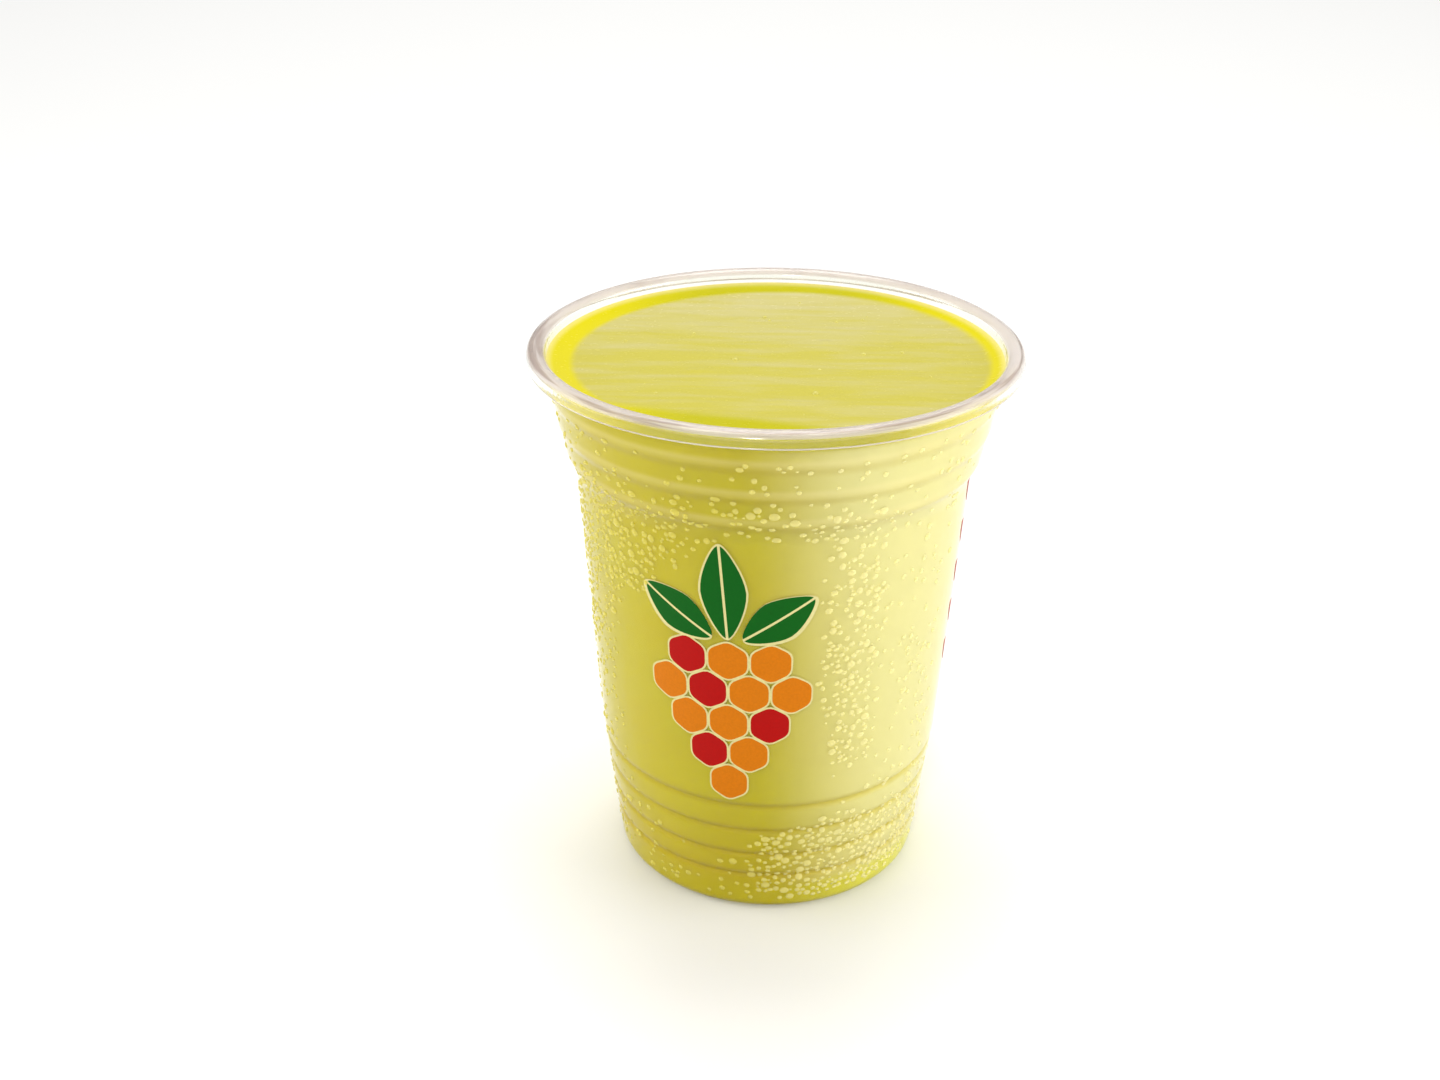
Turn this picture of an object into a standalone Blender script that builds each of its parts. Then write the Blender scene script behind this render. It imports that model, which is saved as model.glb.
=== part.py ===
"""A clear, lidless plastic cup filled almost to the brim with avocado juice.

The cup stands on z = 0 with its axis on Z, and its printed side faces -Y. Lengths
are written in millimetres and turned into metres where each outline becomes a mesh.
"""
import math

import bpy

MM = 0.001

# The cup as a whole
CUP_HEIGHT = 111.3
RIM_RADIUS = 47.5
WALL = 0.55

# Turning: facets round the axis, and how near two points are merged
SEGMENTS = 56
MERGE_DISTANCE = 0.01

# The rolled rim: a curl of round section with a straight lip hanging from it
CURL_RADIUS = 1.85
LIP_DROP = 0.9
CURL_STEPS = 8

# Outer radius of the wall just under the rim, and at both ends of its three parts
NECK_RADIUS = 44.35
FLARE_FOOT_Z = 86.5
FLARE_FOOT_RADIUS = 38.7
PANEL_FOOT_Z = 29.3
PANEL_FOOT_RADIUS = 34.9
FOOT_RADIUS = 31.75

# Three stacking steps in the flare, from the top: height, radius above and below
STEPS = ((102.3, 43.45, 42.75), (96.0, 42.05, 41.3), (89.9, 40.6, 39.6))
STEP_HALF_HEIGHT = 0.7

# Four grooves run round the wall above the foot
GROOVE_HEIGHTS = (27.1, 20.8, 14.6, 9.1)
GROOVE_DEPTH = 0.45
GROOVE_HALF_WIDTH = 0.9

# The foot: a rounded edge, a flat ring to stand on and a raised floor inside it
FOOT_ROUND = 2.4
FOOT_STEPS = 3
FOOT_RING_WIDTH = 1.7
FLOOR_RISE = 2.6
FLOOR_SLOPE_WIDTH = 2.2

# The juice: its level where it meets the wall, and the lower middle inside that ring
JUICE_EDGE_DROP = 2.7
JUICE_MIDDLE_DROP = 3.9
JUICE_EDGE_WIDTH = 4.6
JUICE_EDGE_STEPS = 4
JUICE_EDGE_POWER = 1.6
JUICE_GAP = 0.3


def arc(center_r, center_z, radius, start, end, steps):
    """Points (r, z) along an arc whose angles are in degrees from the outward direction."""
    points = []
    for i in range(steps + 1):
        angle = math.radians(start + (end - start) * i / steps)
        points.append((center_r + radius * math.cos(angle), center_z + radius * math.sin(angle)))
    return points


def skirt_radius(z):
    """Outer radius of the plain cone between the foot's edge and the printed panel."""
    share = (z - FOOT_ROUND) / (PANEL_FOOT_Z - FOOT_ROUND)
    return FOOT_RADIUS + share * (PANEL_FOOT_RADIUS - FOOT_RADIUS)


def wall_outline():
    """Outer outline of the wall, from under the rim down to the foot's rounded edge."""
    points = [(NECK_RADIUS, CUP_HEIGHT - CURL_RADIUS)]
    for z, above, below in STEPS:
        points.append((above, z + STEP_HALF_HEIGHT))
        points.append((below, z - STEP_HALF_HEIGHT))
    points.append((FLARE_FOOT_RADIUS, FLARE_FOOT_Z))
    points.append((PANEL_FOOT_RADIUS, PANEL_FOOT_Z))
    for z in GROOVE_HEIGHTS:
        points.append((skirt_radius(z + GROOVE_HALF_WIDTH), z + GROOVE_HALF_WIDTH))
        points.append((skirt_radius(z) - GROOVE_DEPTH, z))
        points.append((skirt_radius(z - GROOVE_HALF_WIDTH), z - GROOVE_HALF_WIDTH))
    return points


def foot_outline():
    """Outer outline of the foot: its rounded edge, the ring and the raised floor."""
    ring_r = FOOT_RADIUS - FOOT_ROUND
    points = arc(ring_r, FOOT_ROUND, FOOT_ROUND, 0, -90, FOOT_STEPS)
    points.append((ring_r - FOOT_RING_WIDTH, 0))
    points.append((ring_r - FOOT_RING_WIDTH - FLOOR_SLOPE_WIDTH, FLOOR_RISE))
    points.append((0, FLOOR_RISE))
    return points


def rim_outline():
    """Outline of the curl, from its top inner side over the lip and back up inside it."""
    center_r = RIM_RADIUS - CURL_RADIUS
    center_z = CUP_HEIGHT - CURL_RADIUS
    points = arc(center_r, center_z, CURL_RADIUS, 180, 0, CURL_STEPS)
    points.append((RIM_RADIUS, center_z - LIP_DROP))
    points.append((RIM_RADIUS - WALL, center_z - LIP_DROP))
    points += arc(center_r, center_z, CURL_RADIUS - WALL, 0, 180, CURL_STEPS)[:-1]
    return points


def lining(clearance):
    """Inside of the cup, drawn in by a clearance, from the rim down to the axis."""
    inset = WALL + clearance
    points = [(r - inset, z) for r, z in wall_outline()]
    ring_r = FOOT_RADIUS - FOOT_ROUND
    points += arc(ring_r, FOOT_ROUND, FOOT_ROUND - inset, 0, -90, FOOT_STEPS)
    points.append((ring_r - FOOT_RING_WIDTH, inset))
    points.append((ring_r - FOOT_RING_WIDTH - FLOOR_SLOPE_WIDTH, FLOOR_RISE + inset))
    points.append((0, FLOOR_RISE + inset))
    return points


def juice_surface(edge_r):
    """Top of the juice, from the axis out to the wall, where it clings a little higher."""
    middle_z = CUP_HEIGHT - JUICE_MIDDLE_DROP
    climb = JUICE_MIDDLE_DROP - JUICE_EDGE_DROP
    points = [(0, middle_z)]
    for i in range(JUICE_EDGE_STEPS + 1):
        share = i / JUICE_EDGE_STEPS
        r = edge_r - JUICE_EDGE_WIDTH * (1 - share)
        points.append((r, middle_z + climb * share ** JUICE_EDGE_POWER))
    return points


def turned(name, outline, material, collection):
    """A solid of revolution: its outline runs from the axis over the top and down outside."""
    mesh = bpy.data.meshes.new(name)
    edges = [(i, i + 1) for i in range(len(outline) - 1)]
    mesh.from_pydata([(r * MM, 0, z * MM) for r, z in outline], edges, [])
    mesh.materials.append(material)
    solid = bpy.data.objects.new(name, mesh)
    collection.objects.link(solid)
    screw = solid.modifiers.new("Turn", "SCREW")
    screw.angle = math.tau
    screw.steps = SEGMENTS
    screw.render_steps = SEGMENTS
    screw.use_merge_vertices = True
    screw.merge_threshold = MERGE_DISTANCE * MM
    screw.use_smooth_shade = True
    return solid


def finish(name, color, roughness, transmission, ior):
    """A plain dielectric material."""
    material = bpy.data.materials.new(name)
    material.use_nodes = True
    shader = material.node_tree.nodes["Principled BSDF"]
    shader.inputs["Base Color"].default_value = (*color, 1)
    shader.inputs["Metallic"].default_value = 0
    shader.inputs["Roughness"].default_value = roughness
    shader.inputs["Transmission Weight"].default_value = transmission
    shader.inputs["IOR"].default_value = ior
    return material


def make_cup(collection):
    """The thin wall: up the lining, round the rim, down the outside and under the floor."""
    clear_plastic = finish("clear_polypropylene", (0.94, 0.94, 0.91), 0.08, 0.9, 1.49)
    outline = lining(0)[:0:-1] + rim_outline() + wall_outline() + foot_outline()
    return turned("cup", outline, clear_plastic, collection)


def make_juice(collection):
    """The juice, solid up to its level, just clear of the cup's lining."""
    thick_juice = finish("avocado_juice", (0.70, 0.63, 0.14), 0.3, 0, 1.36)
    side = lining(JUICE_GAP)[1:]
    neck_r, neck_z = lining(JUICE_GAP)[0]
    share = (CUP_HEIGHT - JUICE_EDGE_DROP - side[0][1]) / (neck_z - side[0][1])
    edge_r = side[0][0] + share * (neck_r - side[0][0])
    return turned("juice", juice_surface(edge_r) + side, thick_juice, collection)


def main():
    for leftover in list(bpy.data.objects):
        bpy.data.objects.remove(leftover)
    collection = bpy.data.collections.new("avocado_juice_cup")
    bpy.context.scene.collection.children.link(collection)
    make_cup(collection)
    make_juice(collection)


main()
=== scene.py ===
"""The looks of a clear plastic cup filled with avocado juice.

The cup's wall, the juice, its bubbles, the printed fruit and the condensation are
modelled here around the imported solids. Lengths in the constants are millimetres, apart
from the lamps', and angles are degrees. Every piece of the cup is modelled in millimetres
and becomes metres as it is finished.
"""
import math
import random

import bmesh
import bpy
from mathutils import Matrix, Vector, noise


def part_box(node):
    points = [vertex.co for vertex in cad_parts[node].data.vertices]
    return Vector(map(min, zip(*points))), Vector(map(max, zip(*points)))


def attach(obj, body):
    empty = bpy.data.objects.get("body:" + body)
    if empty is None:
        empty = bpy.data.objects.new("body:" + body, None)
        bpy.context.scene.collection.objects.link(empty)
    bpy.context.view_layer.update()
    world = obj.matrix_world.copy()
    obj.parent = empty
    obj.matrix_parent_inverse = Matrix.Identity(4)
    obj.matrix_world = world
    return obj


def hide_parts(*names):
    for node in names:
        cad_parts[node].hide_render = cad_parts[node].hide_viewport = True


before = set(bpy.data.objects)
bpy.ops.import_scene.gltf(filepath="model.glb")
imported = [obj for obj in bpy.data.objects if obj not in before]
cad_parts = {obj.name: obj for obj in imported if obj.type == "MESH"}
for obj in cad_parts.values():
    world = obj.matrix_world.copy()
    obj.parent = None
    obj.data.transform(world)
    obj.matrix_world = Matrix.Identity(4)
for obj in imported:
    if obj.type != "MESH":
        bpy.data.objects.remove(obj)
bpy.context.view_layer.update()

MM = 0.001
SEED = 7

# The cup's overall size, from the frame
CUP_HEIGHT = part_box("cup")[1][2] / MM
RIM_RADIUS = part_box("cup")[1][0] / MM

# The wall: its thickness, and its outer radius at the ends of its three parts
WALL = 0.55
NECK_RADIUS = 44.35
FLARE_FOOT_Z = 86.5
FLARE_FOOT_RADIUS = 38.7
PANEL_FOOT_Z = 29.3
PANEL_FOOT_RADIUS = 34.9
FOOT_RADIUS = 31.75

# The foot: its round edge, the ring that the cup stands on, and the raised floor inside it
FOOT_ROUND = 2.4
FOOT_RING_WIDTH = 1.7
FLOOR_RISE = 2.6
FLOOR_SLOPE_WIDTH = 2.2

# The relief: each step's height with its radius above and below it, and the grooves
STEPS = ((102.3, 43.45, 42.75), (96.0, 42.05, 41.3), (89.9, 40.6, 39.6))
STEP_HALF_HEIGHT = 0.7
GROOVE_HEIGHTS = (27.1, 20.8, 14.6, 9.1)
GROOVE_DEPTH = 0.45
GROOVE_HALF_WIDTH = 0.9

# The rolled rim: its curl, its lip, and the crease along its top, at a turn of the curl
CURL_RADIUS = 1.85
LIP_DROP = 0.9
LIP_Z = CUP_HEIGHT - CURL_RADIUS - LIP_DROP
CREASE_DEPTH = 0.12
CREASE_TURN = 62.0
CREASE_WIDTH = 15.0

# Where the rim is milky, which streaks of painted reflection show, and how grey the crease's
# painted shade and the painted reflection on its left side are
MILKY_HEIGHT = 1.1
STREAKS_FROM = 0.5
STREAKS_TO = 0.8
CREASE_RADIUS = 46.45
CREASE_CORE = 0.1
CREASE_REACH = 0.45
CREASE_SHADE_GREY = 0.18
REFLECTION_SIDE = (-1, -0.1, 0)
REFLECTION_FROM = 40.0
REFLECTION_GREY = 0.27

# How outlines are rounded, how finely curves are drawn, and which edges stay sharp
CORNER_ROUND = 0.7
CORNER_SHARE = 0.45
CORNER_STEPS = 3
FOOT_STEPS = 8
CURL_STEPS = 36
CURL_INSIDE_STEPS = 20
LIP_STEPS = 6
TURNS = 192
MERGE_DISTANCE = 0.0005
SHARP_ANGLE = 50.0

# The juice: how far it reaches into the wall, and its level, which rises to the wall
JUICE_REACH = 0.2
JUICE_EDGE_Z = CUP_HEIGHT - 2.7
JUICE_LEVEL = CUP_HEIGHT - 3.9
JUICE_EDGE_WIDTH = 4.6
JUICE_EDGE_POWER = 1.6
JUICE_FLAT_RADIUS = RIM_RADIUS - 2 * CURL_RADIUS - JUICE_EDGE_WIDTH
SURFACE_RINGS = 72

# The swirl in the juice's top, which fades out towards the wall, and the lumps on it
SWIRL_HEIGHT = 0.14
SWIRL_LENGTH = 9.0
SWIRL_NARROWING = 1.7
SWIRL_SLICE = 0.3
SWIRL_PAST_FLAT = 2.0
SWIRL_FADE = 5.0
SWIRL_DEPTH = 0.1
LUMPS = 16
LUMP_SPREAD = 0.9
LUMP_HEIGHTS = (0.12, 0.3)
LUMP_RADII = (0.9, 1.8)

# Bubbles: powers that crowd them to the wall and keep most small, and how deep they sit
BUBBLES = 40
BUBBLE_RADII = (0.2, 0.65)
BUBBLE_FACETS = (12, 4)
BUBBLE_CROWDING = 0.45
BUBBLE_SMALLNESS = 3
BUBBLE_SINK = 0.05
BUBBLE_FLATNESS = 0.7

# Colours of the juice's top: where they begin, the yellow ring, the pool of painted shade at its
# front, the painted highlight at the wall, and the froth with painted sheen at the back
TOP_FROM = 1.2
TOP_FULL = 0.5
RING_MIDDLE = (1.1, 0.2, 0)
RING_FROM = 39.1
RING_TO = 40.9
RING_SIDES = (12.0, 40.0)
FRONT_SHADE_SIDE = (-0.25, -0.97, 0)
FRONT_SHADE_FROM = 29.5
FRONT_SHADE_TO = 33.5
EDGE_HIGHLIGHT_HEIGHT = 0.6
EDGE_HIGHLIGHT_PALENESS = 0.48
FROTH_FROM = 0.4
FROTH_TO = 0.95
REAR_SHEEN_REACH = 38.0
REAR_SHEEN_GAIN = 0.3

# Colours of its body: where its painted sheen lies, and below which height it is deeper
SHEEN_SIDE = (0.87, -0.5, 0)
SHEEN_FROM = 15.0
SHEEN_TO = 36.0
DEEPEST_BELOW = 4.0
DEEPER_BELOW = 28.0
FOOT_SHEEN_SHARE = 0.95

# Painted shade and light of the relief: how far each reaches, and how pale the painted line of
# light above a step is
LINE_REACH = 1.4
LINE_RISE = 0.1
LINE_PALE_RISE = 1.7
LINE_PALE_TOP = 2.6
LINE_PALENESS = 0.27
LINE_RIM_REACH = 2.0
LINE_FOOT_TOP = 5.0

# The print: its middle on the wall, as degrees round from the front and a height
PRINT_TURN = -12.0
PRINT_HEIGHT = 58.0
FRUIT_RADIUS = 3.7
FRUIT_PITCH = 8.1
FRUIT_ROWS = (3, 4, 3, 2, 1)
RED_EVERY = 3
BERRY_SWELL = 0.035
BERRY_SIDES = 36
FIRST_ROW_RISE = 3.0
PRINT_MARGIN = 0.4

# Its leaves: each one's place to the side, tilt and length, and how they are drawn
LEAVES = ((0, 4, 19.5), (-3, 58, 15.5), (3, -54, 15.5))
LEAF_RISE = FIRST_ROW_RISE + 5.0
LEAF_WIDTH = 8.4
LEAF_RIB = 0.5
LEAF_SIDES = 40
LEAF_PINCH = 0.42
LEAF_TAPER = 1.5

# The sprig on the side: its middle, its stem, and its pairs of leaves
SIDE_PRINT_TURN = 89.0
SIDE_PRINT_HEIGHT = 62.0
STEM_WIDTH = 1.3
STEM_LENGTH = 44
STEM_SIDES = 24
SPRIG_PAIRS = 5
SPRIG_FIRST = -18
SPRIG_PITCH = 9
SPRIG_OFFSET = 1.2
SPRIG_LEAF_LENGTH = 9.5
SPRIG_LEAF_WIDTH = 4.6
SPRIG_TILT = 48

# The films of ink: their lifts over the wall, their thickness, and the strips they bend in
GROUND_LIFT = 0.03
INK_LIFT = 0.06
INK_THICKNESS = 0.1
INK_STRIP = 1.4

# Condensation: for each size of drop how many are tried, their radii, and their facets
DROP_SIZES = ((500, 0.62, 0.84, 12, 3), (4800, 0.42, 0.62, 8, 3), (1500, 0.28, 0.4, 6, 2))

# Where drops may lie, and how many places each one tries
DROP_HEIGHTS = (3, 104)
DROP_TRIES = 30

# A drop's form: the part of a ball it shows, and its height, width and length by its radius
DROP_EDGE = 68.0
DROP_FLATNESS = 0.36
DROP_WIDTHS = (0.95, 1.25)
DROP_LENGTHS = (0.85, 1.1)

# How far towards the painted sheen's side drops begin to pale, and are palest, as painted light
DROP_SHEEN_FROM = 12.0
DROP_SHEEN_TO = 31.0

# Where drops gather: turn, height, half-widths each way, and density, below zero to keep away
DROP_ZONES = (
    (-40, 80, 24, 11, 1.2), (6, 90, 26, 5, 0.5), (20, 60, 12, 24, 1.0), (29, 12, 29, 9, 2.0),
    (-12, 56, 30, 29, -1.8), (-68, 70, 15, 20, 0.3), (105, 70, 30, 22, 0.5),
    (89, 62, 19, 28, -1.6), (-120, 45, 32, 22, 0.5), (175, 80, 32, 14, 0.5), (140, 18, 40, 10, 0.5),
)
DROP_BACKGROUND = 0.07
ZONE_POWER = 4

# The patches drops lie in: their size round the wall and in height, and how strong they are
PATCH_TURN = 9
PATCH_HEIGHT = 7
PATCH_SLICE = 2.0
PATCH_MEAN = 0.8
PATCH_SWING = 0.8

# The camera: its place, and its turns to the side, downwards and about its own axis
CAMERA_DISTANCE = 300.0
CAMERA_HEIGHT = 216.7
CAMERA_YAW = -1.99
CAMERA_PITCH = 26.34
CAMERA_ROLL = -0.21
CAMERA_LENS = 41.27

# Lamps: name, place and aim in metres, size in metres, watts and colour
LAMPS = (
    ("key", (0.5, -0.1, 0.25), (0, 0, 0.05), 0.4, 1.37, (1, 0.99, 0.96)),
    ("left", (-0.5, 0.0, 0.25), (0, 0, 0.05), 0.4, 1.08, (1, 1, 0.97)),
    ("front", (-0.15, -0.95, 0.75), (0, 0, 0.06), 0.12, 2.6, (1, 1, 1)),
    ("top", (0, 0.9, 2.5), (0, 0.9, 0), 1.5, 34, (1, 1, 1)),
)

# The surroundings and the floor
SURROUNDINGS = (1, 0.995, 0.98, 1)
SURROUNDINGS_STRENGTH = 0.5
FLOOR_HALF_WIDTH = 4000.0

# Finishes as sRGB hex values
PLASTIC_TINT = "#fdfdf8"
PLASTIC_SHADOW = "#f6f5f0"
RIM_PALE = "#ece4de"
# Grey of the rim's painted reflections and of the painted shade in its crease
RIM_REFLECTED_GREY = "#c0b0a7"
RIM_SHADOW = "#d8d4cf"
# The drops' diffuse colours, painted light for the light the beads gather; the pale one on the
# painted sheen's side
WATER_YELLOW = "#ece068"
WATER_PALE = "#fef6b2"
WATER_SHADOW = "#ffffff"
JUICE_BODY = "#d4cc1e"
JUICE_DEEP = "#d3c000"
# The juice's painted sheen, on the lit side of its body
JUICE_SHEEN = "#f0eaa6"
# The open top's colour, set darker than the body's as painted shade, balancing the top's stronger
# light against the light the body loses behind the plastic
JUICE_SURFACE = "#cbc14f"
# Froth on the top, also the colour of the painted sheen towards its back
JUICE_FROTH_AND_SHEEN = "#d1c88a"
# The yellow ring round the top, also the painted shade of the pool at its front
JUICE_RING = "#c2bb02"
JUICE_RING_SIDE = "#e2d502"
# Colours of the relief ramp: painted shade under the rim and along steps and grooves, deeper at the
# foot, and the pale of painted light, also used for the painted highlight at the juice's edge
LINE_FOOT = "#f6fa88"
LINE_PLAIN = "#f5f5f5"
LINE_DEEP = "#dad48c"
LINE_STEP = "#efebd4"
LINE_GROOVE = "#e4dc8c"
PAINTED_LIGHT_PALE = "#fdf0b4"
BUBBLE_PALE = "#e6de84"
INK_RED = "#b20200"
INK_ORANGE = "#d47600"
INK_GREEN = "#015c0e"
INK_CREAM = "#e0d694"
FLOOR_PALE = "#fdfdfc"


def linear(code):
    """An sRGB hex value as the linear colour that a socket holds."""
    values = [int(code[i:i + 2], 16) / 255 for i in (1, 3, 5)]
    return (*(v / 12.92 if v <= 0.04045 else ((v + 0.055) / 1.055) ** 2.4 for v in values), 1)


def add(tree, kind, sockets=None, **settings):
    """Adds a node with its settings; each socket gets a value or the output that feeds it."""
    node = tree.nodes.new(kind)
    for name, value in settings.items():
        setattr(node, name, value)
    for name, value in (sockets or {}).items():
        if isinstance(value, bpy.types.NodeSocket):
            tree.links.new(value, node.inputs[name])
        else:
            node.inputs[name].default_value = value
    return node


def blank_material(name):
    """A new material, its node tree, and the tree's object coordinates in millimetres."""
    material = bpy.data.materials.new(name)
    material.use_nodes = True
    tree = material.node_tree
    tree.nodes.clear()
    place = add(tree, "ShaderNodeTexCoord").outputs["Object"]
    in_mm = add(tree, "ShaderNodeVectorMath", {0: place, "Scale": 1 / MM}, operation="SCALE")
    return material, tree, in_mm.outputs["Vector"]


def show(tree, surface):
    """Ends the tree with its surface."""
    add(tree, "ShaderNodeOutputMaterial", {"Surface": surface})


def let_lamps_through(tree, shader, tint):
    """Ends the tree of something clear that lamps shine through onto what is behind it."""
    ray = add(tree, "ShaderNodeLightPath").outputs["Is Shadow Ray"]
    gap = add(tree, "ShaderNodeBsdfTransparent", {"Color": tint}).outputs["BSDF"]
    show(tree, add(tree, "ShaderNodeMixShader", {"Fac": ray, 1: shader, 2: gap}).outputs["Shader"])


def clear_polypropylene():
    """Polypropylene, thermoformed from clear sheet: glossy, with a faint ripple where the
    sheet was drawn down the mould."""
    material, tree, place = blank_material("clear_polypropylene")
    drawn = add(tree, "ShaderNodeMapping", {"Vector": place, "Scale": (0.45, 0.45, 0.05)})
    ripple = add(tree, "ShaderNodeTexNoise", {"Vector": drawn.outputs["Vector"], "Scale": 1.0})
    bump = add(tree, "ShaderNodeBump", {
        "Height": ripple.outputs["Fac"], "Strength": 0.12, "Distance": 0.4 * MM,
    })
    haze = add(tree, "ShaderNodeMapRange", {
        "Value": ripple.outputs["Fac"], "To Min": 0.05, "To Max": 0.12,
    })
    plastic = add(tree, "ShaderNodeBsdfPrincipled", {
        "Base Color": linear(PLASTIC_TINT), "Roughness": haze.outputs["Result"],
        "IOR": 1.38, "Transmission Weight": 1.0, "Normal": bump.outputs["Normal"],
    })
    let_lamps_through(tree, plastic.outputs["BSDF"], linear(PLASTIC_SHADOW))
    return material


def rolled_polypropylene():
    """The same sheet where it is rolled tight, over the top of the rim and at its lip: the stretch
    turns it milky. The greyer streaks that run along the roll are painted reflections of darker
    surroundings. It is greyer still along its crease, as painted shade, and on its left side, as a
    painted reflection."""
    material, tree, place = blank_material("rolled_polypropylene")
    axes = add(tree, "ShaderNodeSeparateXYZ", {"Vector": place}).outputs
    flat = add(tree, "ShaderNodeCombineXYZ", {"X": axes["X"], "Y": axes["Y"]}).outputs["Vector"]
    radius = add(tree, "ShaderNodeVectorMath", {0: flat}, operation="LENGTH").outputs["Value"]
    across = add(tree, "ShaderNodeMath", {0: radius, 1: axes["Z"]}, operation="SUBTRACT")
    spread = add(tree, "ShaderNodeVectorMath", {0: flat, "Scale": 0.06}, operation="SCALE")
    along = add(tree, "ShaderNodeCombineXYZ", {"Z": across.outputs["Value"]}).outputs["Vector"]
    lane = add(tree, "ShaderNodeVectorMath", {0: spread.outputs["Vector"], 1: along})
    streak = add(tree, "ShaderNodeTexNoise", {
        "Vector": lane.outputs["Vector"], "Scale": 1.1, "Detail": 2.0,
    })
    # Painted reflection of darker surroundings: the rim turns greyer towards its left side
    toward_reflection = add(tree, "ShaderNodeVectorMath", {0: flat, 1: REFLECTION_SIDE}, operation="DOT_PRODUCT")
    left_reflection = add(tree, "ShaderNodeMapRange", {
        "Value": toward_reflection.outputs["Value"], "From Min": REFLECTION_FROM, "From Max": RIM_RADIUS,
        "To Max": REFLECTION_GREY,
    }, interpolation_type="SMOOTHSTEP")
    # Painted shade: the rim is greyer along its crease
    beside = add(tree, "ShaderNodeMath", {0: radius, 1: CREASE_RADIUS}, operation="SUBTRACT")
    away = add(tree, "ShaderNodeMath", {0: beside.outputs["Value"]}, operation="ABSOLUTE")
    crease = add(tree, "ShaderNodeMapRange", {
        "Value": away.outputs["Value"], "From Min": CREASE_CORE, "From Max": CREASE_REACH,
        "To Min": CREASE_SHADE_GREY, "To Max": 0.0,
    }, interpolation_type="SMOOTHSTEP")
    marks = add(tree, "ShaderNodeMath", {0: crease.outputs["Result"], 1: left_reflection.outputs["Result"]})
    level = add(tree, "ShaderNodeMath", {0: streak.outputs["Fac"], 1: marks.outputs["Value"]})
    share = add(tree, "ShaderNodeMapRange", {
        "Value": level.outputs["Value"], "From Min": STREAKS_FROM, "From Max": STREAKS_TO,
    }, interpolation_type="SMOOTHSTEP")
    # Painted reflection and painted shade: the streaks, the crease and the left side turn the milky
    # rim greyer
    color = add(tree, "ShaderNodeMix", {
        0: share.outputs["Result"], 6: linear(RIM_PALE), 7: linear(RIM_REFLECTED_GREY),
    }, data_type="RGBA")
    bump = add(tree, "ShaderNodeBump", {
        "Height": streak.outputs["Fac"], "Strength": 0.15, "Distance": 0.3 * MM,
    })
    plastic = add(tree, "ShaderNodeBsdfPrincipled", {
        "Base Color": color.outputs[2], "Roughness": 0.12, "IOR": 1.49,
        "Transmission Weight": 0.55, "Normal": bump.outputs["Normal"],
    })
    let_lamps_through(tree, plastic.outputs["BSDF"], linear(RIM_SHADOW))
    return material


def condensed_water():
    """Beads of condensed water: domes whose pale diffuse colour is painted light, standing in for
    the light they gather, so they look paler than the wall they sit on, and each carries a bright
    point. They take their shade from the juice behind them, and are painted palest on its side of
    painted sheen."""
    material, tree, place = blank_material("condensed_water")
    toward_sheen = add(tree, "ShaderNodeVectorMath", {0: place, 1: SHEEN_SIDE}, operation="DOT_PRODUCT")
    pale = add(tree, "ShaderNodeMapRange", {
        "Value": toward_sheen.outputs["Value"], "From Min": DROP_SHEEN_FROM, "From Max": DROP_SHEEN_TO,
    })
    color = add(tree, "ShaderNodeMix", {
        0: pale.outputs["Result"], 6: linear(WATER_YELLOW), 7: linear(WATER_PALE),
    }, data_type="RGBA")
    depth = add(tree, "ShaderNodeTexNoise", {"Vector": place, "Scale": 0.5})
    clouding = add(tree, "ShaderNodeMapRange", {
        "Value": depth.outputs["Fac"], "To Min": 0.12, "To Max": 0.24,
    })
    water = add(tree, "ShaderNodeBsdfPrincipled", {
        "Base Color": color.outputs[2], "Roughness": clouding.outputs["Result"],
        "IOR": 1.33, "Transmission Weight": 0.38,
    })
    let_lamps_through(tree, water.outputs["BSDF"], linear(WATER_SHADOW))
    return material


def mark_lines(stops):
    """Painted shade and light of the wall's relief by height: each step and groove bends light
    away, so the juice is painted deeper along it, and a painted pale line of light runs just above
    each step. It is painted deeper under the rim too, in its shade, and it is deeper at the foot. A
    stop's alpha says how pale it is."""
    under_rim = CUP_HEIGHT - 2 * CURL_RADIUS
    marks = [
        (under_rim - LINE_RIM_REACH, LINE_PLAIN, 0), (under_rim, LINE_DEEP, 0),
        (LINE_FOOT_TOP, LINE_FOOT, 0),
    ]
    for z, _, _ in STEPS:
        marks += [
            (z - LINE_REACH, LINE_PLAIN, 0), (z + LINE_RISE, LINE_STEP, 0),
            (z + LINE_PALE_RISE, LINE_PLAIN, LINE_PALENESS), (z + LINE_PALE_TOP, LINE_PLAIN, 0),
        ]
    for z in GROOVE_HEIGHTS:
        marks += [
            (z - LINE_REACH, LINE_PLAIN, 0), (z, LINE_GROOVE, 0), (z + LINE_REACH, LINE_PLAIN, 0),
        ]
    stops[0].color = (*linear(LINE_FOOT)[:3], 0)
    stops[1].color = (*linear(LINE_DEEP)[:3], 0)
    for z, code, paleness in marks:
        stops.new(z / CUP_HEIGHT).color = (*linear(code)[:3], paleness)


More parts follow.
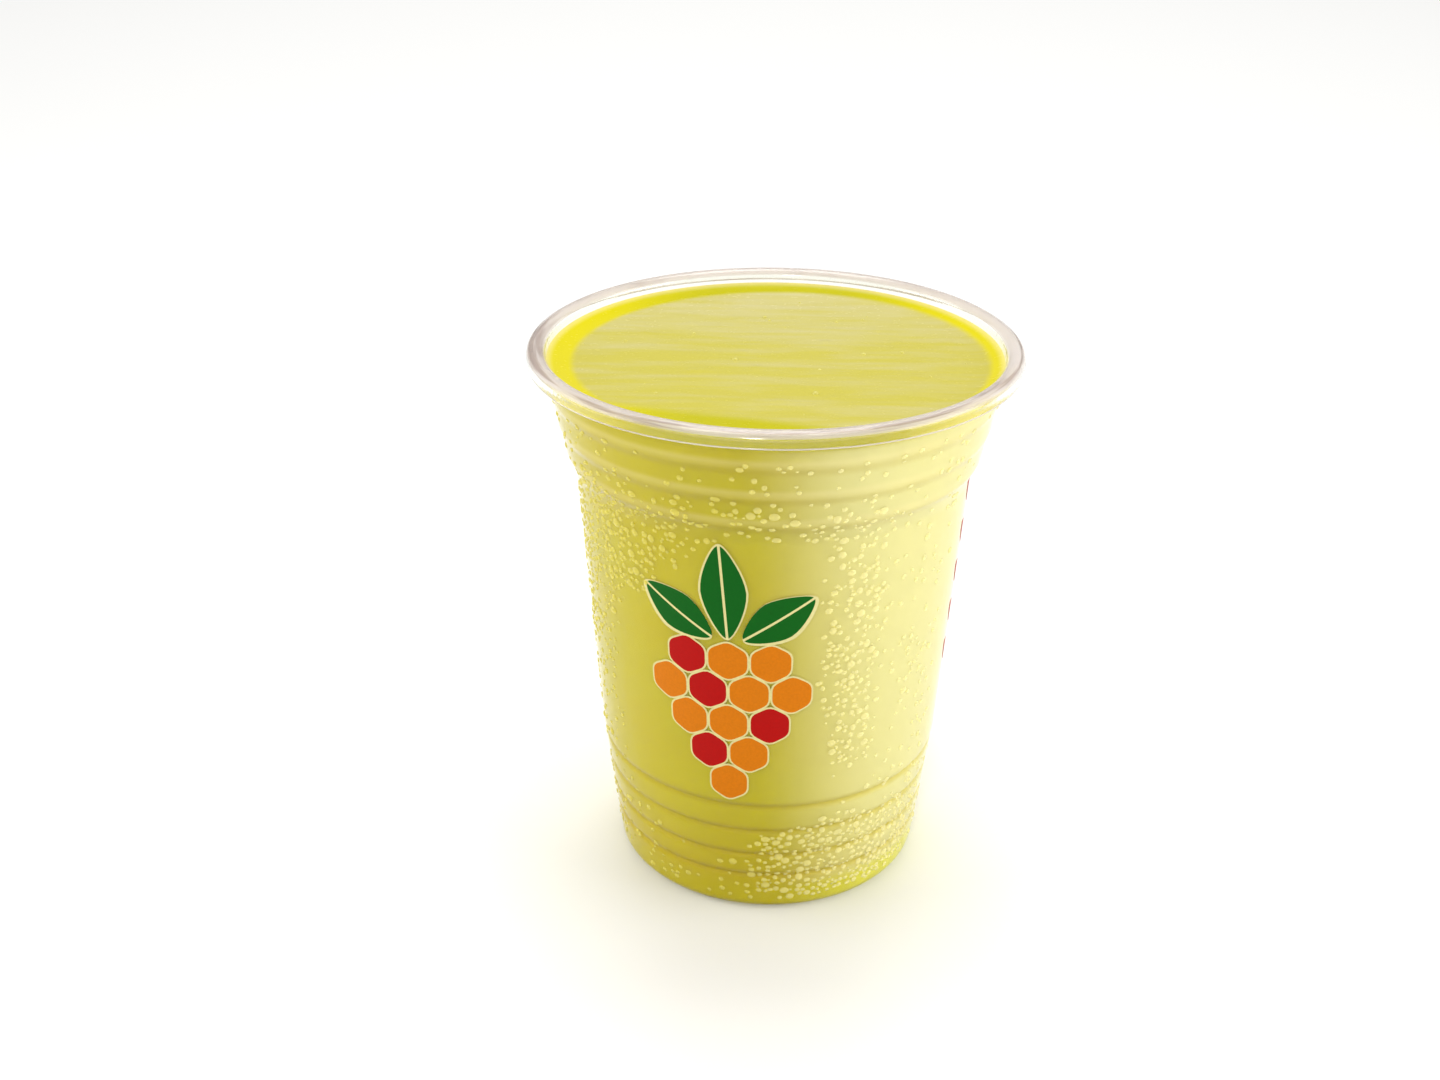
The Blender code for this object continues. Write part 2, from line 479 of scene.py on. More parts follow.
def blended_avocado():
    """Avocado blended with milk and sugar: thick, opaque and wet, with fine pulp. Its top is set
    darker than its body, as painted shade. It has drawn streaks of froth, with more froth colour
    towards the back as a painted sheen, and is a purer yellow all along the wall, where no froth
    lies; at the front that yellow widens into a pool of painted shade under the rim. At the wall
    itself it ends in a thin pale band, a painted highlight of the wall's inner edge. Its body is
    paler to one side as a painted sheen, and deeper towards the bottom."""
    material, tree, place = blank_material("blended_avocado")
    axes = add(tree, "ShaderNodeSeparateXYZ", {"Vector": place}).outputs
    flat = add(tree, "ShaderNodeCombineXYZ", {"X": axes["X"], "Y": axes["Y"]}).outputs["Vector"]
    apart = add(tree, "ShaderNodeVectorMath", {0: flat, 1: RING_MIDDLE}, operation="DISTANCE")
    round_edge = add(tree, "ShaderNodeMapRange", {
        "Value": apart.outputs["Value"], "From Min": RING_FROM, "From Max": RING_TO,
    }, interpolation_type="SMOOTHSTEP")
    # Painted shade: at the front the yellow ring widens into a deeper pool, the shade under the
    # front rim
    frontward = add(tree, "ShaderNodeVectorMath", {0: flat, 1: FRONT_SHADE_SIDE}, operation="DOT_PRODUCT")
    front_shade = add(tree, "ShaderNodeMapRange", {
        "Value": frontward.outputs["Value"], "From Min": FRONT_SHADE_FROM, "From Max": FRONT_SHADE_TO,
    }, interpolation_type="SMOOTHSTEP")
    ring = add(tree, "ShaderNodeMath", {
        0: round_edge.outputs["Result"], 1: front_shade.outputs["Result"],
    }, operation="MAXIMUM")
    sideways = add(tree, "ShaderNodeMath", {0: axes["X"]}, operation="ABSOLUTE")
    at_sides = add(tree, "ShaderNodeMapRange", {
        "Value": sideways.outputs["Value"], "From Min": RING_SIDES[0], "From Max": RING_SIDES[1],
    }, interpolation_type="SMOOTHSTEP")
    ring_and_front_shade = add(tree, "ShaderNodeMix", {
        0: at_sides.outputs["Result"], 6: linear(JUICE_RING), 7: linear(JUICE_RING_SIDE),
    }, data_type="RGBA")
    top = add(tree, "ShaderNodeMapRange", {
        "Value": axes["Z"], "From Min": JUICE_LEVEL - TOP_FROM, "From Max": JUICE_LEVEL - TOP_FULL,
    }).outputs["Result"]
    cloud = add(tree, "ShaderNodeTexNoise", {"Vector": place, "Scale": 0.05, "Detail": 3.0})
    pulp = add(tree, "ShaderNodeTexNoise", {"Vector": place, "Scale": 0.9, "Detail": 1.0})
    # Deeper towards the bottom: fully deep below one height, as above it from another
    above_deepest = add(tree, "ShaderNodeMapRange", {
        "Value": axes["Z"], "From Min": DEEPEST_BELOW, "From Max": DEEPER_BELOW,
    }, interpolation_type="SMOOTHSTEP")
    lightness = add(tree, "ShaderNodeMath", {
        0: cloud.outputs["Fac"], 1: above_deepest.outputs["Result"],
    }, operation="MULTIPLY")
    deep = add(tree, "ShaderNodeMix", {
        0: lightness.outputs["Value"], 6: linear(JUICE_DEEP), 7: linear(JUICE_BODY),
    }, data_type="RGBA")
    # Painted sheen: the body is paler towards the side where the lamp's sheen falls, a little less
    # so at the foot
    toward_sheen = add(tree, "ShaderNodeVectorMath", {0: flat, 1: SHEEN_SIDE}, operation="DOT_PRODUCT")
    pale = add(tree, "ShaderNodeMapRange", {
        "Value": toward_sheen.outputs["Value"], "From Min": SHEEN_FROM, "From Max": SHEEN_TO,
    }, interpolation_type="SMOOTHSTEP")
    sheen_left = add(tree, "ShaderNodeMapRange", {
        "Value": above_deepest.outputs["Result"], "To Min": FOOT_SHEEN_SHARE,
    })
    paleness = add(tree, "ShaderNodeMath", {
        0: pale.outputs["Result"], 1: sheen_left.outputs["Result"],
    }, operation="MULTIPLY")
    plain = add(tree, "ShaderNodeMix", {
        0: paleness.outputs["Value"], 6: deep.outputs[2], 7: linear(JUICE_SHEEN),
    }, data_type="RGBA")
    share = add(tree, "ShaderNodeMath", {0: axes["Z"], 1: CUP_HEIGHT}, operation="DIVIDE")
    lines = add(tree, "ShaderNodeValToRGB", {"Fac": share.outputs["Value"]})
    mark_lines(lines.color_ramp.elements)
    # Painted shade and light of the relief, from the ramp that mark_lines fills
    shaded = add(tree, "ShaderNodeMix", {
        0: 1.0, 6: plain.outputs[2], 7: lines.outputs["Color"],
    }, data_type="RGBA", blend_type="MULTIPLY")
    body = add(tree, "ShaderNodeMix", {
        0: lines.outputs["Alpha"], 6: shaded.outputs[2], 7: linear(PAINTED_LIGHT_PALE),
    }, data_type="RGBA")
    drawn = add(tree, "ShaderNodeMapping", {"Vector": place, "Scale": (0.05, 0.35, 0.35)})
    swirl = add(tree, "ShaderNodeTexNoise", {
        "Vector": drawn.outputs["Vector"], "Scale": 1.0, "Detail": 3.0,
    })
    # Painted sheen: the top takes more of the froth colour towards the back, where a lamp's sheen
    # would lie
    rear_sheen = add(tree, "ShaderNodeMapRange", {
        "Value": axes["Y"], "From Min": 0.0, "From Max": REAR_SHEEN_REACH, "To Max": REAR_SHEEN_GAIN,
    })
    froth = add(tree, "ShaderNodeMath", {0: swirl.outputs["Fac"], 1: rear_sheen.outputs["Result"]})
    froth_and_sheen_share = add(tree, "ShaderNodeMapRange", {
        "Value": froth.outputs["Value"], "From Min": FROTH_FROM, "From Max": FROTH_TO,
    })
    open_top = add(tree, "ShaderNodeMix", {
        0: froth_and_sheen_share.outputs["Result"], 6: linear(JUICE_SURFACE), 7: linear(JUICE_FROTH_AND_SHEEN),
    }, data_type="RGBA")
    under_edge_highlight = add(tree, "ShaderNodeMix", {
        0: ring.outputs["Value"], 6: open_top.outputs[2], 7: ring_and_front_shade.outputs[2],
    }, data_type="RGBA")
    # Painted highlight: a thin pale band where the juice meets the wall, the highlight of the
    # wall's inner edge
    film = add(tree, "ShaderNodeMapRange", {
        "Value": axes["Z"], "From Min": JUICE_EDGE_Z - EDGE_HIGHLIGHT_HEIGHT, "From Max": JUICE_EDGE_Z,
        "To Max": EDGE_HIGHLIGHT_PALENESS,
    }, interpolation_type="SMOOTHSTEP")
    surface = add(tree, "ShaderNodeMix", {
        0: film.outputs["Result"], 6: under_edge_highlight.outputs[2], 7: linear(PAINTED_LIGHT_PALE),
    }, data_type="RGBA")
    color = add(tree, "ShaderNodeMix", {
        0: top, 6: body.outputs[2], 7: surface.outputs[2],
    }, data_type="RGBA")
    wetness = add(tree, "ShaderNodeMapRange", {
        "Value": pulp.outputs["Fac"], "To Min": 0.22, "To Max": 0.3,
    })
    bump = add(tree, "ShaderNodeBump", {
        "Height": pulp.outputs["Fac"], "Strength": 0.12, "Distance": 0.1 * MM,
    })
    juice = add(tree, "ShaderNodeBsdfPrincipled", {
        "Base Color": color.outputs[2], "Roughness": wetness.outputs["Result"],
        "IOR": 1.36, "Specular IOR Level": 0.15, "Normal": bump.outputs["Normal"],
    })
    show(tree, juice.outputs["BSDF"])
    return material


def bubble_film():
    """The film of a small bubble in the juice: the juice again, thinner and paler."""
    material, tree, place = blank_material("bubble_film")
    fleck = add(tree, "ShaderNodeTexNoise", {"Vector": place, "Scale": 2.5})
    color = add(tree, "ShaderNodeMix", {
        0: fleck.outputs["Fac"], 6: linear(JUICE_SURFACE), 7: linear(BUBBLE_PALE),
    }, data_type="RGBA")
    film = add(tree, "ShaderNodeBsdfPrincipled", {
        "Base Color": color.outputs[2], "Roughness": 0.12, "IOR": 1.36,
    })
    show(tree, film.outputs["BSDF"])
    return material


def screen_ink(name, code):
    """Screen-printed ink, cured on the plastic: satin and flat, a little uneven where the
    mesh of the screen laid it down. The mesh is drawn at 0.5 mm, coarser than the real one."""
    material, tree, place = blank_material(name)
    mesh = add(tree, "ShaderNodeTexNoise", {"Vector": place, "Scale": 2.0, "Detail": 1.0})
    shade = add(tree, "ShaderNodeMapRange", {
        "Value": mesh.outputs["Fac"], "To Min": 0.9, "To Max": 1.1,
    })
    color = add(tree, "ShaderNodeHueSaturation", {
        "Color": linear(code), "Value": shade.outputs["Result"],
    })
    bump = add(tree, "ShaderNodeBump", {
        "Height": mesh.outputs["Fac"], "Strength": 0.2, "Distance": 0.05 * MM,
    })
    ink = add(tree, "ShaderNodeBsdfPrincipled", {
        "Base Color": color.outputs["Color"], "Roughness": 0.3, "Specular IOR Level": 0.1,
        "Normal": bump.outputs["Normal"],
    })
    show(tree, ink.outputs["BSDF"])
    return material


def matte_card():
    """Matte card for the floor: pale and even, with a trace of fibre."""
    material, tree, place = blank_material("matte_card")
    fibre = add(tree, "ShaderNodeTexNoise", {"Vector": place, "Scale": 0.4, "Detail": 4.0})
    rough = add(tree, "ShaderNodeMapRange", {
        "Value": fibre.outputs["Fac"], "To Min": 0.85, "To Max": 1.0,
    })
    card = add(tree, "ShaderNodeBsdfPrincipled", {
        "Base Color": linear(FLOOR_PALE), "Roughness": rough.outputs["Result"],
        "Specular IOR Level": 0.1,
    })
    show(tree, card.outputs["BSDF"])
    return material


def arc(center_r, center_z, radius, start, end, steps):
    """Points (r, z) along an arc whose angles are in degrees from the outward direction."""
    points = []
    for i in range(steps + 1):
        angle = math.radians(start + (end - start) * i / steps)
        points.append((center_r + radius * math.cos(angle), center_z + radius * math.sin(angle)))
    return points


def softened(points):
    """The outline with each corner between its ends turned into a short curve."""
    soft = [points[0]]
    for before, corner, after in zip(points, points[1:], points[2:]):
        before, corner, after = Vector(before), Vector(corner), Vector(after)
        back, on = before - corner, after - corner
        start = corner + back * min(CORNER_SHARE, CORNER_ROUND / back.length)
        end = corner + on * min(CORNER_SHARE, CORNER_ROUND / on.length)
        for i in range(CORNER_STEPS + 1):
            t = i / CORNER_STEPS
            soft.append(tuple(start * (1 - t) ** 2 + corner * 2 * t * (1 - t) + end * t * t))
    return soft + [points[-1]]


def skirt_radius(z):
    """Outer radius of the plain cone between the foot's edge and the printed panel."""
    share = (z - FOOT_ROUND) / (PANEL_FOOT_Z - FOOT_ROUND)
    return FOOT_RADIUS + share * (PANEL_FOOT_RADIUS - FOOT_RADIUS)


def wall_outline():
    """Outer outline of the wall, from under the rim down to the foot's rounded edge."""
    points = [(NECK_RADIUS, CUP_HEIGHT - CURL_RADIUS)]
    for z, above, below in STEPS:
        points += [(above, z + STEP_HALF_HEIGHT), (below, z - STEP_HALF_HEIGHT)]
    points += [(FLARE_FOOT_RADIUS, FLARE_FOOT_Z), (PANEL_FOOT_RADIUS, PANEL_FOOT_Z)]
    for z in GROOVE_HEIGHTS:
        points.append((skirt_radius(z + GROOVE_HALF_WIDTH), z + GROOVE_HALF_WIDTH))
        points.append((skirt_radius(z) - GROOVE_DEPTH, z))
        points.append((skirt_radius(z - GROOVE_HALF_WIDTH), z - GROOVE_HALF_WIDTH))
    points.append((FOOT_RADIUS, FOOT_ROUND))
    return softened(points)


def foot_outline(inset):
    """Outline under the cup, or that of the lining above it: edge, ring and raised floor."""
    ring_r = FOOT_RADIUS - FOOT_ROUND
    slope_r = ring_r - FOOT_RING_WIDTH
    points = arc(ring_r, FOOT_ROUND, FOOT_ROUND - inset, 0, -90, FOOT_STEPS)
    corners = [points[-1], (slope_r, inset), (slope_r - FLOOR_SLOPE_WIDTH, FLOOR_RISE + inset)]
    return points[:-1] + softened(corners + [(0, FLOOR_RISE + inset)])


def lining(inset):
    """The wall's outline drawn in by an inset, from the rim down to the axis."""
    return [(r - inset, z) for r, z in wall_outline()[:-1]] + foot_outline(inset)


def rim_outline():
    """The curl with a fine crease along its top, from its inner side over the lip and back."""
    center = (RIM_RADIUS - CURL_RADIUS, CUP_HEIGHT - CURL_RADIUS)
    over = []
    for i in range(CURL_STEPS + 1):
        turn = 180 - 180 * i / CURL_STEPS
        crease = CREASE_DEPTH * math.exp(-((turn - CREASE_TURN) / CREASE_WIDTH) ** 2)
        over += arc(*center, CURL_RADIUS - crease, turn, turn, 1)[:1]
    lip = arc(RIM_RADIUS - WALL / 2, LIP_Z, WALL / 2, 0, -180, LIP_STEPS)
    inside = arc(*center, CURL_RADIUS - WALL, 0, 180, CURL_INSIDE_STEPS)
    return over + lip + inside[:-1]


def wall_at(z):
    """Outer radius of the wall at a height, and how much it grows for each mm upwards."""
    points = wall_outline()
    for (top_r, top_z), (low_r, low_z) in zip(points, points[1:]):
        if low_z <= z <= top_z and top_z > low_z:
            slope = (top_r - low_r) / (top_z - low_z)
            return low_r + (z - low_z) * slope, slope
    return FOOT_RADIUS, 0.0


def on_wall(turn, z, lift=0.0):
    """The point of the wall at a turn from the front, in degrees, and a height."""
    angle = math.radians(turn)
    r = wall_at(z)[0] + lift
    return Vector((r * math.sin(angle), -r * math.cos(angle), z))


def finish_piece(name, shape, material, node=None):
    """Turns a shape in mm into a piece in metres that rides on the cup's body."""
    bmesh.ops.recalc_face_normals(shape, faces=shape.faces)
    bmesh.ops.scale(shape, vec=(MM, MM, MM), verts=shape.verts)
    mesh = bpy.data.meshes.new(name)
    shape.to_mesh(mesh)
    shape.free()
    mesh.shade_smooth()
    mesh.set_sharp_from_angle(angle=math.radians(SHARP_ANGLE))
    mesh.materials.append(material)
    piece = bpy.data.objects.new(name, mesh)
    bpy.context.scene.collection.objects.link(piece)
    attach(piece, "root")
    if node:
        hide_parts(node)
    return piece


def turned(outline, steps=TURNS):
    """The outline, which starts on the axis, spun round it into a shape. The shape is closed
    if the outline ends on the axis too."""
    shape = bmesh.new()
    points = [shape.verts.new((r, 0, z)) for r, z in outline]
    edges = [shape.edges.new(pair) for pair in zip(points, points[1:])]
    bmesh.ops.spin(
        shape, geom=points + edges, cent=(0, 0, 0), axis=(0, 0, 1), angle=math.tau,
        steps=steps, use_merge=True,
    )
    bmesh.ops.remove_doubles(shape, verts=shape.verts, dist=MERGE_DISTANCE)
    return shape


def make_cup(plastic, rolled):
    """The clear wall: up its lining, round the rolled rim, down outside and under the floor."""
    outline = lining(WALL)[:0:-1] + rim_outline() + wall_outline()[:-1] + foot_outline(0)
    cup = finish_piece("clear_cup", turned(outline), plastic, "cup")
    cup.data.materials.append(rolled)
    for face in cup.data.polygons:
        x, y, z = face.center / MM
        away = math.hypot(x, y)
        on_top = z > CUP_HEIGHT - MILKY_HEIGHT and away > NECK_RADIUS - WALL
        on_lip = away > RIM_RADIUS - 2 * WALL and LIP_Z - WALL < z < LIP_Z + WALL / 2
        if on_top or on_lip:
            face.material_index = 1


def surface_height(x, y, lumps):
    """Height of the juice's top at a place: a slow swirl left by pouring, and a few lumps."""
    place = Vector((x / SWIRL_LENGTH, SWIRL_NARROWING * y / SWIRL_LENGTH, SWIRL_SLICE))
    height = SWIRL_HEIGHT * noise.noise(place)
    for lump_x, lump_y, radius, rise in lumps:
        away = math.hypot(x - lump_x, y - lump_y) / radius
        height += rise * math.exp(-away * away)
    return height


def juice_outline():
    """The juice's outline: out over its top, down inside the wall and in along the floor."""
    side = lining(WALL - JUICE_REACH)
    edge_r = wall_at(JUICE_EDGE_Z)[0] - WALL + JUICE_REACH
    rise = JUICE_EDGE_Z - JUICE_LEVEL
    points = []
    for i in range(SURFACE_RINGS + 1):
        r = edge_r * i / SURFACE_RINGS
        share = max(0.0, 1 - (edge_r - r) / JUICE_EDGE_WIDTH)
        points.append((r, JUICE_LEVEL + rise * share ** JUICE_EDGE_POWER))
    return points + [(r, z) for r, z in side if z < JUICE_EDGE_Z - CORNER_ROUND]


def make_juice(juice, draw):
    """The juice, up to its level and just into the wall, with its uneven top."""
    shape = turned(juice_outline())
    lumps = []
    for _ in range(LUMPS):
        away = JUICE_FLAT_RADIUS * LUMP_SPREAD * math.sqrt(draw.random())
        turn = draw.uniform(0, math.tau)
        lumps.append((
            away * math.cos(turn), away * math.sin(turn),
            draw.uniform(*LUMP_RADII), draw.uniform(*LUMP_HEIGHTS),
        ))
    for vert in shape.verts:
        away = math.hypot(vert.co.x, vert.co.y)
        fade = min(1.0, max(0.0, (JUICE_FLAT_RADIUS + SWIRL_PAST_FLAT - away) / SWIRL_FADE))
        if fade and vert.co.z > JUICE_LEVEL - SWIRL_DEPTH:
            vert.co.z += fade * surface_height(vert.co.x, vert.co.y, lumps)
    finish_piece("avocado_juice", shape, juice, "juice")


def dome(sides, rings):
    """The top of a ball, drawn up until it is as high as its open foot's radius: its points
    and its faces."""
    edge = math.radians(DROP_EDGE)
    outline = []
    for ring in range(rings + 1):
        polar = edge * ring / rings
        up = (math.cos(polar) - math.cos(edge)) / (1 - math.cos(edge))
        outline.append((math.sin(polar) / math.sin(edge), up))
    shape = turned(outline, sides)
    shape.verts.index_update()
    points = [vert.co.copy() for vert in shape.verts]
    faces = [[vert.index for vert in face.verts] for face in shape.faces]
    shape.free()
    return points, faces


def stamp(parts, model, matrix):
    """Adds a copy of the model to the gathered points and faces at a matrix."""
    points, faces = parts
    first = len(points)
    points += [matrix @ point for point in model[0]]
    faces += [[first + i for i in face] for face in model[1]]


def joined(parts):
    """The gathered points and faces as one shape."""
    mesh = bpy.data.meshes.new("gathered")
    mesh.from_pydata(parts[0], [], parts[1])
    shape = bmesh.new()
    shape.from_mesh(mesh)
    bpy.data.meshes.remove(mesh)
    return shape


def make_bubbles(film, draw):
    """Small bubbles that rose to the top, thickest towards the wall."""
    parts = ([], [])
    cap = dome(*BUBBLE_FACETS)
    least, most = BUBBLE_RADII
    for _ in range(BUBBLES):
        away = JUICE_FLAT_RADIUS * draw.random() ** BUBBLE_CROWDING
        turn = draw.uniform(0, math.tau)
        size = least + (most - least) * draw.random() ** BUBBLE_SMALLNESS
        x, y = away * math.cos(turn), away * math.sin(turn)
        form = Matrix.Diagonal((size, size, BUBBLE_FLATNESS * size, 1))
        stamp(parts, cap, Matrix.Translation((x, y, JUICE_LEVEL - BUBBLE_SINK)) @ form)
    finish_piece("bubbles", joined(parts), film)


def drop_chance(turn, z):
    """How likely a drop is at a place on the wall: patches, as cold walls bead unevenly."""
    chance = DROP_BACKGROUND
    for zone_turn, zone_z, wide, tall, weight in DROP_ZONES:
        around = (turn - zone_turn + 180) % 360 - 180
        apart = (around / wide) ** ZONE_POWER
        chance += weight * math.exp(-apart - ((z - zone_z) / tall) ** ZONE_POWER)
    patchy = noise.noise(Vector((turn / PATCH_TURN, z / PATCH_HEIGHT, PATCH_SLICE)))
    return chance * (PATCH_MEAN + PATCH_SWING * patchy)


def make_condensation(water, draw):
    """Beads of water on the outside of the wall, large ones first, and hardly any touching."""
    parts = ([], [])
    taken = {}
    cell = 2 * DROP_SIZES[0][2]
    for count, least, most, sides, rings in DROP_SIZES:
        cap = dome(sides, rings)
        for _ in range(count):
            size = draw.uniform(least, most)
            for _ in range(DROP_TRIES):
                turn, z = draw.uniform(-180, 180), draw.uniform(*DROP_HEIGHTS)
                if draw.random() < drop_chance(turn, z):
                    break
            else:
                continue
            place = on_wall(turn, z)
            key = tuple(int(c // cell) for c in place)
            near = [
                other for dx in (-1, 0, 1) for dy in (-1, 0, 1) for dz in (-1, 0, 1)
                for other in taken.get((key[0] + dx, key[1] + dy, key[2] + dz), ())
            ]
            if any((place - other).length < size + other_size for other, other_size in near):
                continue
            taken.setdefault(key, []).append((place, size))
            angle = math.radians(turn)
            outward = Vector((math.sin(angle), -math.cos(angle), -wall_at(z)[1]))
            lean = outward.to_track_quat("Z", "Y").to_matrix().to_4x4()
            wide, tall = draw.uniform(*DROP_WIDTHS), draw.uniform(*DROP_LENGTHS)
            form = Matrix.Diagonal((size * wide, size * tall, size * DROP_FLATNESS, 1))
            stamp(parts, cap, Matrix.Translation(place) @ lean @ form)
    finish_piece("condensation", joined(parts), water)


def berry(art, x, y, radius):
    """A round spot of ink that swells towards the six gaps between its neighbours."""
    made = bmesh.ops.create_circle(art, cap_ends=True, segments=BERRY_SIDES, radius=radius)["verts"]
    for vert in made:
        angle = math.atan2(vert.co.y, vert.co.x)
        vert.co *= 1 + BERRY_SWELL * (1 - math.cos(6 * angle))
    bmesh.ops.translate(art, verts=made, vec=(x, y, 0))


def leaf(art, x, y, length, width, tilt, rib=0.0):
    """A pointed leaf: a circle stretched and drawn to points, split where it has a rib."""
    made = bmesh.ops.create_circle(art, cap_ends=True, segments=LEAF_SIDES, radius=1)["verts"]
    for vert in made:
        pinch = 1 - LEAF_PINCH * abs(vert.co.y) ** LEAF_TAPER
        vert.co.x *= width / 2 * pinch
        vert.co.y = (vert.co.y + 1) * length / 2
    if rib:
        for side in (-1, 1):
            faces = list({face for vert in made if vert.is_valid for face in vert.link_faces})
            edges = list({edge for face in faces for edge in face.edges})
            verts = list({vert for face in faces for vert in face.verts})
            cut = bmesh.ops.bisect_plane(
                art, geom=faces + edges + verts, plane_co=(side * rib / 2, 0, 0),
                plane_no=(1, 0, 0),
            )
            made += [item for item in cut["geom_cut"] if isinstance(item, bmesh.types.BMVert)]
        faces = {face for vert in made if vert.is_valid for face in vert.link_faces}
        ribs = [face for face in faces if abs(face.calc_center_median().x) < rib / 2]
        bmesh.ops.delete(art, geom=ribs, context="FACES")
        made = list({vert for vert in made if vert.is_valid})
    turn = Matrix.Translation((x, y, 0)) @ Matrix.Rotation(math.radians(tilt), 4, "Z")
    bmesh.ops.transform(art, matrix=turn, verts=made)


def bar(art, x, y, width, length):
    """An upright bar of ink with a round top and foot."""
    made = bmesh.ops.create_circle(
        art, cap_ends=True, segments=STEM_SIDES, radius=width / 2,
    )["verts"]
    for vert in made:
        vert.co.y += math.copysign((length - width) / 2, vert.co.y)
    bmesh.ops.translate(art, verts=made, vec=(x, y, 0))


def print_piece(name, art, ink, turn, height, lift):
    """Lays flat ink shapes round the wall, as a film with its back in the plastic."""
    bmesh.ops.triangulate(art, faces=art.faces)
    reach = max(abs(vert.co.x) for vert in art.verts)
    strips = int(reach / INK_STRIP) + 1
    for i in range(-strips, strips + 1):
        geom = list(art.verts) + list(art.edges) + list(art.faces)
        bmesh.ops.bisect_plane(art, geom=geom, plane_co=(i * INK_STRIP, 0, 0), plane_no=(1, 0, 0))
    middle_r = wall_at(height)[0]
    for vert in art.verts:
        around = turn + math.degrees(vert.co.x / middle_r)
        vert.co = on_wall(around, height + vert.co.y, lift)
    bmesh.ops.recalc_face_normals(art, faces=art.faces)
    inward = [face for face in art.faces if face.normal.xy.dot(face.calc_center_median().xy) < 0]
    bmesh.ops.reverse_faces(art, faces=inward)
    bmesh.ops.solidify(art, geom=list(art.faces), thickness=INK_THICKNESS)
    finish_piece(name, art, ink)


def make_print(inks):
    """The main print: one large berry under three leaves, on a thin cream ground."""
    fruit = {"red": bmesh.new(), "orange": bmesh.new()}
    ground, green = bmesh.new(), bmesh.new()
    row_step = FRUIT_PITCH * math.sqrt(3) / 2
    for row, count in enumerate(FRUIT_ROWS):
        for i in range(count):
            x = (i - (count - 1) / 2) * FRUIT_PITCH
            y = FIRST_ROW_RISE - row * row_step
            color = "red" if (row + 2 * i) % RED_EVERY == 0 else "orange"
            berry(fruit[color], x, y, FRUIT_RADIUS)
            berry(ground, x, y, FRUIT_PITCH / 2)
    ground_width = LEAF_WIDTH + 2 * PRINT_MARGIN
    for x, tilt, length in LEAVES:
        leaf(green, x, LEAF_RISE, length, LEAF_WIDTH, tilt, LEAF_RIB)
        leaf(ground, x, LEAF_RISE - PRINT_MARGIN, length + 2 * PRINT_MARGIN, ground_width, tilt)
    print_piece("print_ground", ground, inks["cream"], PRINT_TURN, PRINT_HEIGHT, GROUND_LIFT)
    print_piece("print_leaves", green, inks["green"], PRINT_TURN, PRINT_HEIGHT, INK_LIFT)
    for color, art in fruit.items():
        print_piece(f"print_fruit_{color}", art, inks[color], PRINT_TURN, PRINT_HEIGHT, INK_LIFT)


def make_side_print(inks):
    """A red sprig on the cup's right side: leaves in pairs on a thin stem."""
    red = bmesh.new()
    bar(red, 0, 0, STEM_WIDTH, STEM_LENGTH)
    for i in range(SPRIG_PAIRS):
        y = SPRIG_FIRST + SPRIG_PITCH * i
        for side in (-1, 1):
            x, tilt = side * SPRIG_OFFSET, -side * SPRIG_TILT
            leaf(red, x, y, SPRIG_LEAF_LENGTH, SPRIG_LEAF_WIDTH, tilt)
    print_piece("print_side_sprig", red, inks["red"], SIDE_PRINT_TURN, SIDE_PRINT_HEIGHT, INK_LIFT)


def make_floor():
    """A wide pale floor for the cup to stand on."""
    shape = bmesh.new()
    bmesh.ops.create_grid(shape, x_segments=8, y_segments=8, size=FLOOR_HALF_WIDTH * MM)
    mesh = bpy.data.meshes.new("floor")
    shape.to_mesh(mesh)
    shape.free()
    mesh.materials.append(matte_card())
    floor = bpy.data.objects.new("floor", mesh)
    bpy.context.scene.collection.objects.link(floor)


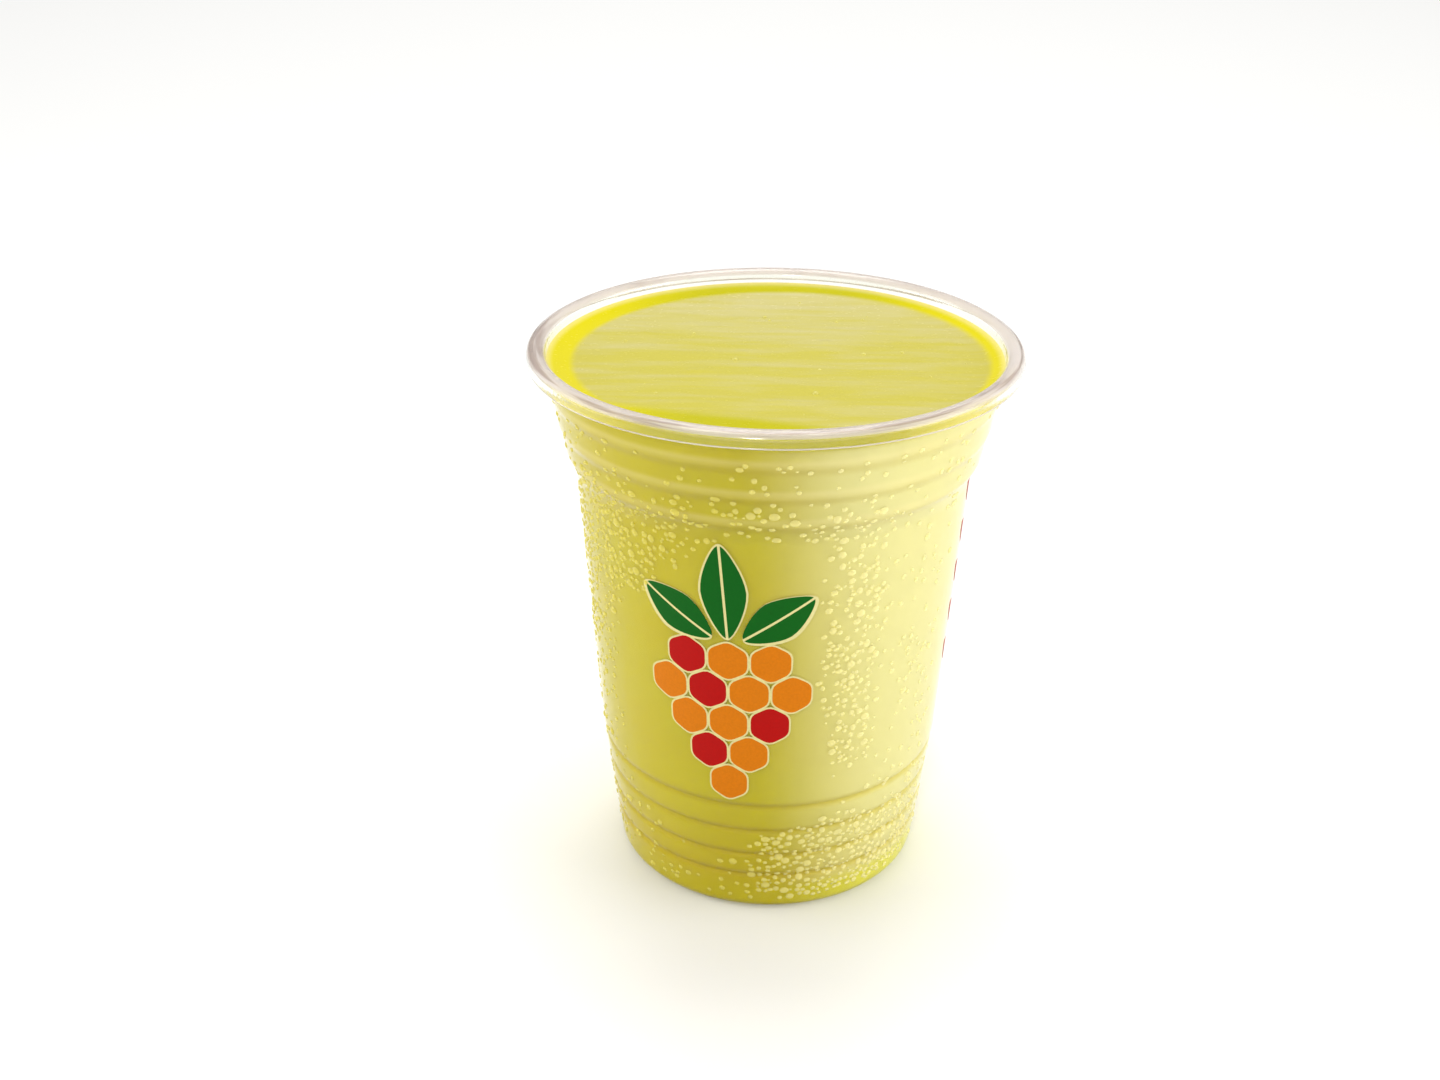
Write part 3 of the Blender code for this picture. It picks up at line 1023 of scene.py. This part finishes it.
def make_light(name, place, aim, size, energy, color):
    """A soft square lamp that faces a point."""
    lamp = bpy.data.lights.new(name, "AREA")
    lamp.shape = "SQUARE"
    lamp.size = size
    lamp.energy = energy
    lamp.color = color
    light = bpy.data.objects.new(name, lamp)
    light.location = place
    light.rotation_euler = (Vector(aim) - Vector(place)).to_track_quat("-Z", "Y").to_euler()
    bpy.context.scene.collection.objects.link(light)


def make_camera():
    """The camera at the photographed angle, aimed by yaw, pitch and roll."""
    yaw, pitch, roll = (math.radians(a) for a in (CAMERA_YAW, CAMERA_PITCH, CAMERA_ROLL))
    camera = bpy.data.cameras.new("camera")
    camera.lens = CAMERA_LENS
    holder = bpy.data.objects.new("camera", camera)
    upright = Matrix.Rotation(math.radians(90) - pitch, 4, "X")
    turn = Matrix.Rotation(-yaw, 4, "Z") @ upright @ Matrix.Rotation(-roll, 4, "Z")
    place = Matrix.Translation((0, -CAMERA_DISTANCE * MM, CAMERA_HEIGHT * MM))
    holder.matrix_world = place @ turn
    bpy.context.scene.collection.objects.link(holder)
    bpy.context.scene.camera = holder


def make_studio():
    """Pale surroundings, soft lamps at both sides and above, and a small one in front that
    gives the rim and each drop its bright point."""
    world = bpy.data.worlds.new("studio")
    bpy.context.scene.world = world
    world.use_nodes = True
    background = world.node_tree.nodes["Background"]
    background.inputs["Color"].default_value = SURROUNDINGS
    background.inputs["Strength"].default_value = SURROUNDINGS_STRENGTH
    for lamp in LAMPS:
        make_light(*lamp)
    bpy.context.scene.view_settings.view_transform = "Standard"


def main():
    """Makes the cup, the juice, the prints and the condensation, and then the studio."""
    draw = random.Random(SEED)
    plastic = clear_polypropylene()
    inks = {
        "red": screen_ink("screen_ink_red", INK_RED),
        "orange": screen_ink("screen_ink_orange", INK_ORANGE),
        "green": screen_ink("screen_ink_green", INK_GREEN),
        "cream": screen_ink("screen_ink_cream", INK_CREAM),
    }
    make_cup(plastic, rolled_polypropylene())
    make_juice(blended_avocado(), draw)
    make_bubbles(bubble_film(), draw)
    make_print(inks)
    make_side_print(inks)
    make_condensation(condensed_water(), draw)
    make_floor()
    make_studio()
    make_camera()


main()
